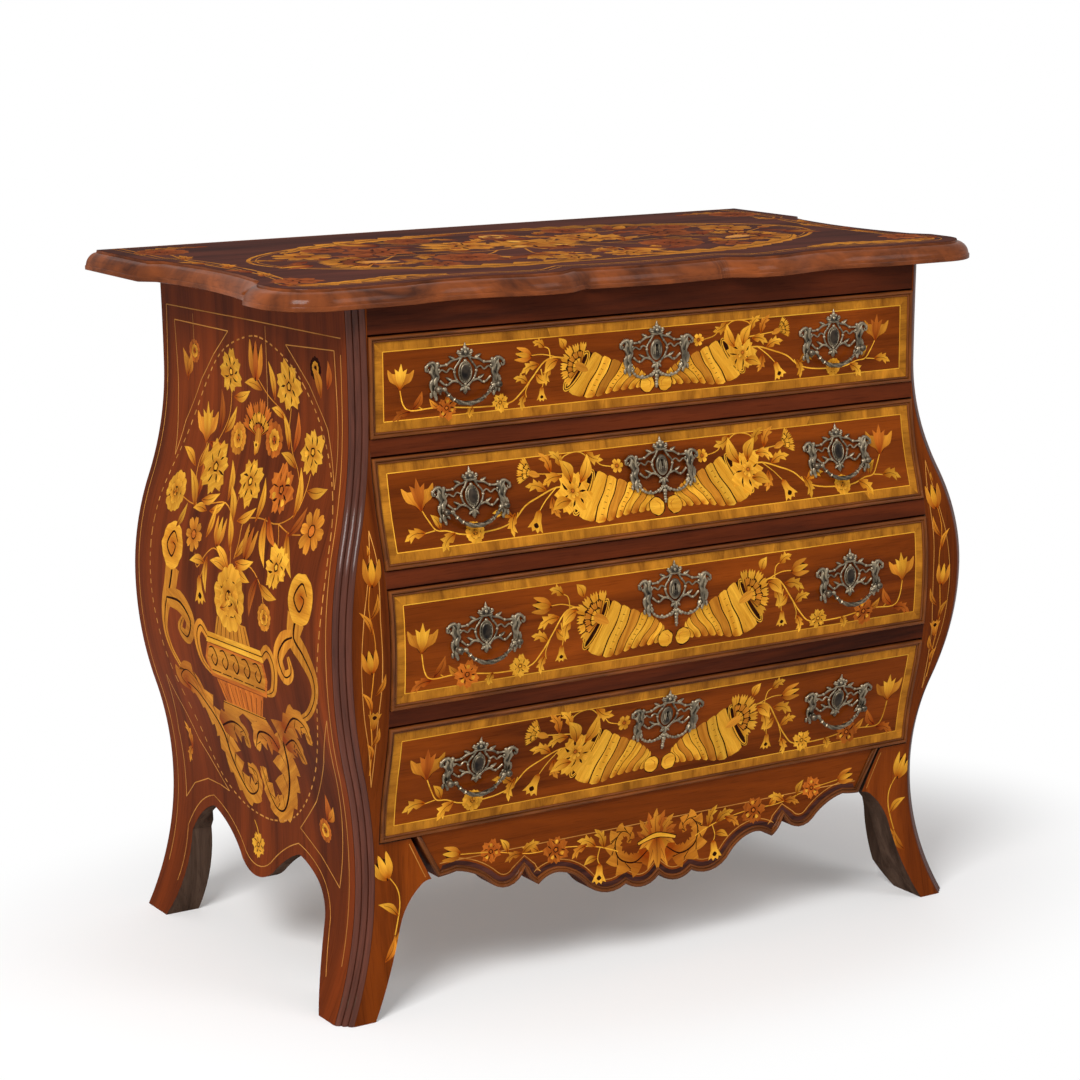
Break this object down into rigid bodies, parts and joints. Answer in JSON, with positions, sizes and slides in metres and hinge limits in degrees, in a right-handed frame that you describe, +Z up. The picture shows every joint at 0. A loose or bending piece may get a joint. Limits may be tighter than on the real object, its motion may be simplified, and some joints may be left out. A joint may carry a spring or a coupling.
{
  "type": "bombe chest",
  "caption": "Bombe chest with swelling front and sides, shaped top, sabre feet, scalloped apron and long drawers with bail handles and locks.",
  "frame": {"origin": "on the floor at the middle of the bounding box", "axes": "+X to the right seen from the front, +Y to the back, +Z up"},
  "size_m": [1.016, 0.5763, 0.861],
  "materials": {
    "walnut": "polished walnut veneer",
    "top_veneer": "polished walnut veneer with light inlay",
    "drawer_veneer": "polished walnut veneer with light inlay",
    "dark_bead": "polished dark hardwood",
    "oak": "plain oak, unpolished",
    "brass": "patinated cast brass, worn bright on the high parts",
    "lock_brass": "dull brass",
    "steel": "filed steel"
  },
  "bodies": {
    "case": {"top_board": "top_veneer", "left_front_post": "walnut", "right_front_post": "walnut", "left_side_panel": "walnut", "right_side_panel": "walnut", "rear_posts": "walnut", "front_rails": "walnut", "dust_boards": "oak", "runners_and_kickers": "oak", "case_bottom": "oak", "back_boards": "oak", "drawer_stops": "oak"},
    "drawer_1": {"drawer_1_front": "drawer_veneer", "drawer_1_bead": "dark_bead", "drawer_1_sides": "oak", "drawer_1_back": "oak", "drawer_1_bottom": "oak", "drawer_1_handle_plates": "brass", "drawer_1_handle_posts": "brass", "drawer_1_escutcheon": "brass", "drawer_1_lock": "lock_brass"},
    "drawer_1_lock_bolt": {"drawer_1_lock_bolt": "steel"},
    "drawer_1_left_bail": {"drawer_1_left_bail": "brass"},
    "drawer_1_right_bail": {"drawer_1_right_bail": "brass"},
    "drawer_2": {"drawer_2_front": "drawer_veneer", "drawer_2_bead": "dark_bead", "drawer_2_sides": "oak", "drawer_2_back": "oak", "drawer_2_bottom": "oak", "drawer_2_handle_plates": "brass", "drawer_2_handle_posts": "brass", "drawer_2_escutcheon": "brass", "drawer_2_lock": "lock_brass"},
    "drawer_2_lock_bolt": {"drawer_2_lock_bolt": "steel"},
    "drawer_2_left_bail": {"drawer_2_left_bail": "brass"},
    "drawer_2_right_bail": {"drawer_2_right_bail": "brass"},
    "drawer_3": {"drawer_3_front": "drawer_veneer", "drawer_3_bead": "dark_bead", "drawer_3_sides": "oak", "drawer_3_back": "oak", "drawer_3_bottom": "oak", "drawer_3_handle_plates": "brass", "drawer_3_handle_posts": "brass", "drawer_3_escutcheon": "brass", "drawer_3_lock": "lock_brass"},
    "drawer_3_lock_bolt": {"drawer_3_lock_bolt": "steel"},
    "drawer_3_left_bail": {"drawer_3_left_bail": "brass"},
    "drawer_3_right_bail": {"drawer_3_right_bail": "brass"},
    "drawer_4": {"drawer_4_front": "drawer_veneer", "drawer_4_bead": "dark_bead", "drawer_4_sides": "oak", "drawer_4_back": "oak", "drawer_4_bottom": "oak", "drawer_4_handle_plates": "brass", "drawer_4_handle_posts": "brass", "drawer_4_escutcheon": "brass", "drawer_4_lock": "lock_brass"},
    "drawer_4_lock_bolt": {"drawer_4_lock_bolt": "steel"},
    "drawer_4_left_bail": {"drawer_4_left_bail": "brass"},
    "drawer_4_right_bail": {"drawer_4_right_bail": "brass"}
  },
  "joints": [
    {"name": "drawer_1_slide", "type": "slide", "parent": "case", "child": "drawer_1", "axis": [0, -1, 0], "range_m": [0, 0.34]},
    {"name": "drawer_1_lock_bolt_slide", "type": "slide", "parent": "drawer_1", "child": "drawer_1_lock_bolt", "axis": [0, 0, 1], "range_m": [0, 0.008]},
    {"name": "drawer_1_left_bail_swing", "type": "hinge", "parent": "drawer_1", "child": "drawer_1_left_bail", "pos_m": [-0.2665, -0.24153, 0.73655], "axis": [-1, 0, 0], "range_deg": [0, 85]},
    {"name": "drawer_1_right_bail_swing", "type": "hinge", "parent": "drawer_1", "child": "drawer_1_right_bail", "pos_m": [0.2665, -0.24153, 0.73655], "axis": [-1, 0, 0], "range_deg": [0, 85]},
    {"name": "drawer_2_slide", "type": "slide", "parent": "case", "child": "drawer_2", "axis": [0, -1, 0], "range_m": [0, 0.34]},
    {"name": "drawer_2_lock_bolt_slide", "type": "slide", "parent": "drawer_2", "child": "drawer_2_lock_bolt", "axis": [0, 0, 1], "range_m": [0, 0.008]},
    {"name": "drawer_2_left_bail_swing", "type": "hinge", "parent": "drawer_2", "child": "drawer_2_left_bail", "pos_m": [-0.2665, -0.25653, 0.59641], "axis": [-1, 0, 0], "range_deg": [0, 85]},
    {"name": "drawer_2_right_bail_swing", "type": "hinge", "parent": "drawer_2", "child": "drawer_2_right_bail", "pos_m": [0.2665, -0.25653, 0.59641], "axis": [-1, 0, 0], "range_deg": [0, 85]},
    {"name": "drawer_3_slide", "type": "slide", "parent": "case", "child": "drawer_3", "axis": [0, -1, 0], "range_m": [0, 0.34]},
    {"name": "drawer_3_lock_bolt_slide", "type": "slide", "parent": "drawer_3", "child": "drawer_3_lock_bolt", "axis": [0, 0, 1], "range_m": [0, 0.008]},
    {"name": "drawer_3_left_bail_swing", "type": "hinge", "parent": "drawer_3", "child": "drawer_3_left_bail", "pos_m": [-0.2665, -0.2838, 0.43946], "axis": [-1, 0, 0], "range_deg": [0, 85]},
    {"name": "drawer_3_right_bail_swing", "type": "hinge", "parent": "drawer_3", "child": "drawer_3_right_bail", "pos_m": [0.2665, -0.2838, 0.43946], "axis": [-1, 0, 0], "range_deg": [0, 85]},
    {"name": "drawer_4_slide", "type": "slide", "parent": "case", "child": "drawer_4", "axis": [0, -1, 0], "range_m": [0, 0.34]},
    {"name": "drawer_4_lock_bolt_slide", "type": "slide", "parent": "drawer_4", "child": "drawer_4_lock_bolt", "axis": [0, 0, 1], "range_m": [0, 0.008]},
    {"name": "drawer_4_left_bail_swing", "type": "hinge", "parent": "drawer_4", "child": "drawer_4_left_bail", "pos_m": [-0.2665, -0.25774, 0.27355], "axis": [-1, 0, 0], "range_deg": [0, 85]},
    {"name": "drawer_4_right_bail_swing", "type": "hinge", "parent": "drawer_4", "child": "drawer_4_right_bail", "pos_m": [0.2665, -0.25774, 0.27355], "axis": [-1, 0, 0], "range_deg": [0, 85]}
  ]
}
